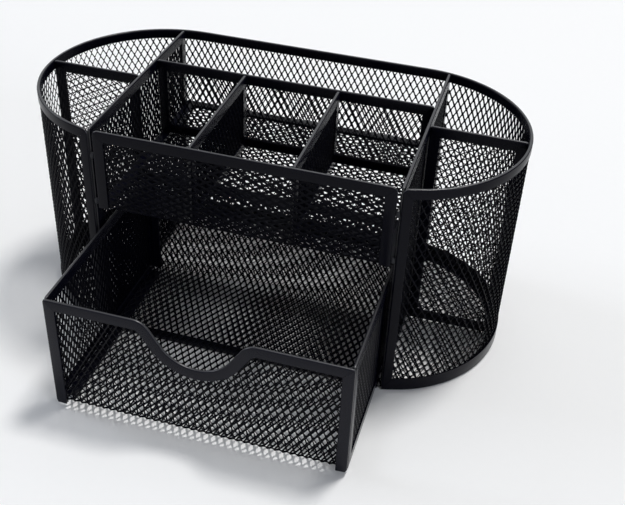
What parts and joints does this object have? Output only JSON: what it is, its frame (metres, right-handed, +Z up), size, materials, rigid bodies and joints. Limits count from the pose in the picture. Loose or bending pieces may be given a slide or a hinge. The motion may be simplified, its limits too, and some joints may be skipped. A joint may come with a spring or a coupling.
{
  "type": "desk organizer",
  "caption": "Black steel mesh desk organizer with rounded ends: deep pen cups at the ends, a raised rear tray and small bins between them, and a sliding mesh drawer below.",
  "frame": {"origin": "centre of the tub's footprint, on the surface it stands on", "axes": "+X to the right along the long side, -Y towards the front where the drawer opens, +Z up"},
  "size_m": [0.22, 0.1609, 0.1056],
  "materials": {
    "mesh": "satin black powder coat on expanded steel mesh",
    "edging": "satin black powder coat on folded sheet steel"
  },
  "bodies": {
    "organizer": {"bottom_rim": "edging", "floor_front_hem": "edging", "floor_mesh": "mesh", "front_panel_frame": "edging", "front_panel_mesh": "mesh", "front_panel_tabs": "edging", "front_post_left": "edging", "front_post_right": "edging", "left_bin_frame": "edging", "left_bin_mesh": "mesh", "left_cross_frame": "edging", "left_cross_mesh": "mesh", "left_divider_frame": "edging", "left_divider_mesh": "mesh", "right_bin_frame": "edging", "right_bin_mesh": "mesh", "right_cross_frame": "edging", "right_cross_mesh": "mesh", "right_divider_frame": "edging", "right_divider_mesh": "mesh", "row_divider_frame": "edging", "row_divider_mesh": "mesh", "shelf_frame": "edging", "shelf_mesh": "mesh", "top_rim": "edging", "wall_mesh": "mesh"},
    "drawer": {"drawer_back_frame": "edging", "drawer_back_mesh": "mesh", "drawer_floor_mesh": "mesh", "drawer_front_frame": "edging", "drawer_front_mesh": "mesh", "drawer_left_frame": "edging", "drawer_left_mesh": "mesh", "drawer_right_frame": "edging", "drawer_right_mesh": "mesh"}
  },
  "joints": [
    {"name": "drawer_slide", "type": "slide", "parent": "organizer", "child": "drawer", "axis": [0, -1, 0], "range_m": [-0.053, 0.04]}
  ]
}
